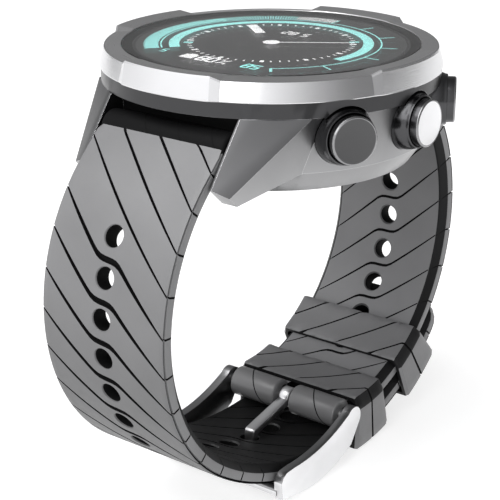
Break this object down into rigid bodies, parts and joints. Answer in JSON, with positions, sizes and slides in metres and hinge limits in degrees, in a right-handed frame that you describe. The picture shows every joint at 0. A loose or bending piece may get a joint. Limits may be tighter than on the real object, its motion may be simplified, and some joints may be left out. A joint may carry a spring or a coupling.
{
  "type": "wrist dive computer",
  "caption": "Round wrist dive computer: steel bezel over a winged case, side pushers, grooved silicone strap closed in a loop by a pin buckle and sliding keepers.",
  "frame": {"origin": "centre of the sensor window face on the case back, which seats on the wrist", "axes": "+Z out of the display, +X towards 3 o'clock and the pushers, +Y towards 12 o'clock and the buckle-side strap"},
  "size_m": [0.0516, 0.0747, 0.0668],
  "materials": {
    "case_metal": "satin, dark grey",
    "bezel_steel": "brushed",
    "lens_glass": "polished",
    "display_black": "lit matrix display under black mask",
    "board_resin": "solder mask",
    "frame_plastic": "moulded",
    "battery_foil": "foil pouch",
    "motor_can": "drawn can",
    "back_plastic": "glass-filled, satin",
    "window_plastic": "dark window",
    "sensor_cap": "satin",
    "screw_steel": "satin",
    "contact_plating": "plated",
    "collar_dark_chrome": "dark polished",
    "seal_rubber": "matt",
    "pin_steel": "turned",
    "pusher_dark_steel": "fine satin, dark",
    "pusher_bright_steel": "fine satin",
    "buckle_steel": "satin with bright edges",
    "strap_silicone": "satin silicone"
  },
  "bodies": {
    "case": {"case_body": "case_metal", "bezel": "bezel_steel", "lens": "lens_glass", "lens_gasket": "seal_rubber", "display_module": "display_black", "main_board": "board_resin", "inner_frame": "frame_plastic", "battery": "battery_foil", "vibration_motor": "motor_can", "case_back": "back_plastic", "back_gasket": "seal_rubber", "sensor_window": "window_plastic", "pressure_sensor": "sensor_cap", "back_screw_1": "screw_steel", "back_screw_2": "screw_steel", "back_screw_3": "screw_steel", "back_screw_4": "screw_steel", "charge_pad_1": "contact_plating", "charge_pad_2": "contact_plating", "charge_pad_3": "contact_plating", "charge_pad_4": "contact_plating", "pusher_collar_1": "collar_dark_chrome", "pusher_collar_2": "collar_dark_chrome", "pusher_collar_3": "collar_dark_chrome", "pusher_seal_1": "seal_rubber", "pusher_seal_2": "seal_rubber", "pusher_seal_3": "seal_rubber", "strap_bar_12": "pin_steel", "strap_bar_6": "pin_steel", "strap_buckle_side": "strap_silicone", "strap_hole_side": "strap_silicone", "buckle_bar": "pin_steel"},
    "pusher_body_1": {"pusher_1": "pusher_dark_steel", "pusher_clip_1": "pin_steel"},
    "pusher_body_2": {"pusher_2": "pusher_bright_steel", "pusher_clip_2": "pin_steel"},
    "pusher_body_3": {"pusher_3": "pusher_dark_steel", "pusher_clip_3": "pin_steel"},
    "bar_tip_12_right_body": {"bar_tip_12_right": "pin_steel"},
    "bar_tip_12_left_body": {"bar_tip_12_left": "pin_steel"},
    "bar_tip_6_right_body": {"bar_tip_6_right": "pin_steel"},
    "bar_tip_6_left_body": {"bar_tip_6_left": "pin_steel"},
    "buckle_frame_body": {"buckle_frame": "buckle_steel"},
    "tongue_body": {"buckle_tongue": "buckle_steel"},
    "keeper_upper_body": {"keeper_upper": "strap_silicone"},
    "keeper_lower_body": {"keeper_lower": "strap_silicone"}
  },
  "joints": [
    {"name": "pusher_1_press", "type": "slide", "parent": "case", "child": "pusher_body_1", "axis": [-0.8704, 0.4924, 0], "range_m": [0, 0.0009], "stiffness_N_per_m": 1200, "springref_m": -0.0015},
    {"name": "pusher_2_press", "type": "slide", "parent": "case", "child": "pusher_body_2", "axis": [-1, 0, 0], "range_m": [0, 0.0009], "stiffness_N_per_m": 1200, "springref_m": -0.0015},
    {"name": "pusher_3_press", "type": "slide", "parent": "case", "child": "pusher_body_3", "axis": [-0.8704, -0.4924, 0], "range_m": [0, 0.0009], "stiffness_N_per_m": 1200, "springref_m": -0.0015},
    {"name": "bar_tip_12_right_slide", "type": "slide", "parent": "case", "child": "bar_tip_12_right_body", "axis": [-1, 0, 0], "range_m": [0, 0.0011], "stiffness_N_per_m": 1000, "springref_m": -0.001},
    {"name": "bar_tip_12_left_slide", "type": "slide", "parent": "case", "child": "bar_tip_12_left_body", "axis": [1, 0, 0], "range_m": [0, 0.0011], "stiffness_N_per_m": 1000, "springref_m": -0.001},
    {"name": "bar_tip_6_right_slide", "type": "slide", "parent": "case", "child": "bar_tip_6_right_body", "axis": [-1, 0, 0], "range_m": [0, 0.0011], "stiffness_N_per_m": 1000, "springref_m": -0.001},
    {"name": "bar_tip_6_left_slide", "type": "slide", "parent": "case", "child": "bar_tip_6_left_body", "axis": [1, 0, 0], "range_m": [0, 0.0011], "stiffness_N_per_m": 1000, "springref_m": -0.001},
    {"name": "buckle_frame_swing", "type": "hinge", "parent": "case", "child": "buckle_frame_body", "pos_m": [0, 0.00502, -0.0424], "axis": [1, 0, 0], "range_deg": [0, 25]},
    {"name": "tongue_swing", "type": "hinge", "parent": "case", "child": "tongue_body", "pos_m": [0, 0.00502, -0.0424], "axis": [-1, 0, 0], "range_deg": [0, 70]},
    {"name": "keeper_upper_slide", "type": "hinge", "parent": "case", "child": "keeper_upper_body", "pos_m": [0, 0.009, -0.0161], "axis": [1, 0, 0], "range_deg": [-5, 35]},
    {"name": "keeper_lower_slide", "type": "hinge", "parent": "case", "child": "keeper_lower_body", "pos_m": [0, 0.009, -0.0161], "axis": [1, 0, 0], "range_deg": [0, 5]}
  ]
}
